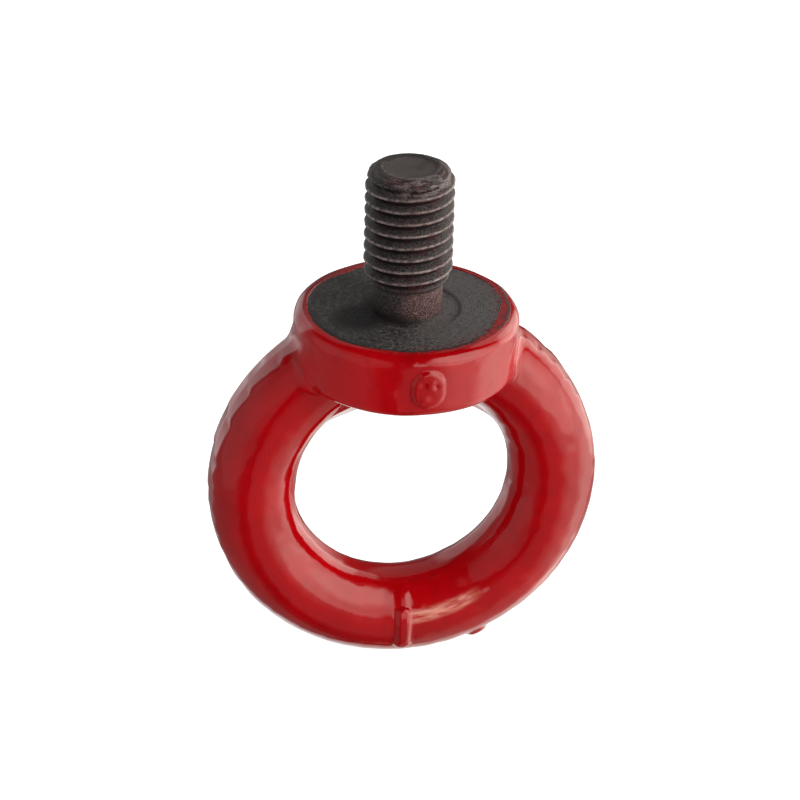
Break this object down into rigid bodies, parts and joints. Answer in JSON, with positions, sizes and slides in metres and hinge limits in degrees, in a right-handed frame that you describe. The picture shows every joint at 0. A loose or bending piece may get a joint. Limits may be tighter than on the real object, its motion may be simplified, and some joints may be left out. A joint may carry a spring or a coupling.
{
  "type": "eye bolt",
  "caption": "Forged lifting eye bolt: a closed round ring carried by a round collar with a machined seat and a threaded shank; ring and collar enamelled red.",
  "frame": {"origin": "centre of the seat face, on the shank's axis", "axes": "+Z along the shank towards its tip; the ring hangs in the XZ plane below the origin and its eye looks along Y; the oval pad is on the -Y side"},
  "size_m": [0.054, 0.0309, 0.0738],
  "materials": {
    "black_steel": "blackened and turned, dull",
    "red_enamel": "thick gloss enamel"
  },
  "bodies": {
    "root": {"threaded_shank": "black_steel", "shank_neck": "black_steel", "collar": "black_steel", "ring": "black_steel", "left_shoulder": "red_enamel", "right_shoulder": "red_enamel", "collar_coat": "red_enamel", "ring_coat": "red_enamel", "collar_oval_pad": "red_enamel", "ring_rib": "red_enamel", "ring_button": "red_enamel"}
  },
  "joints": []
}
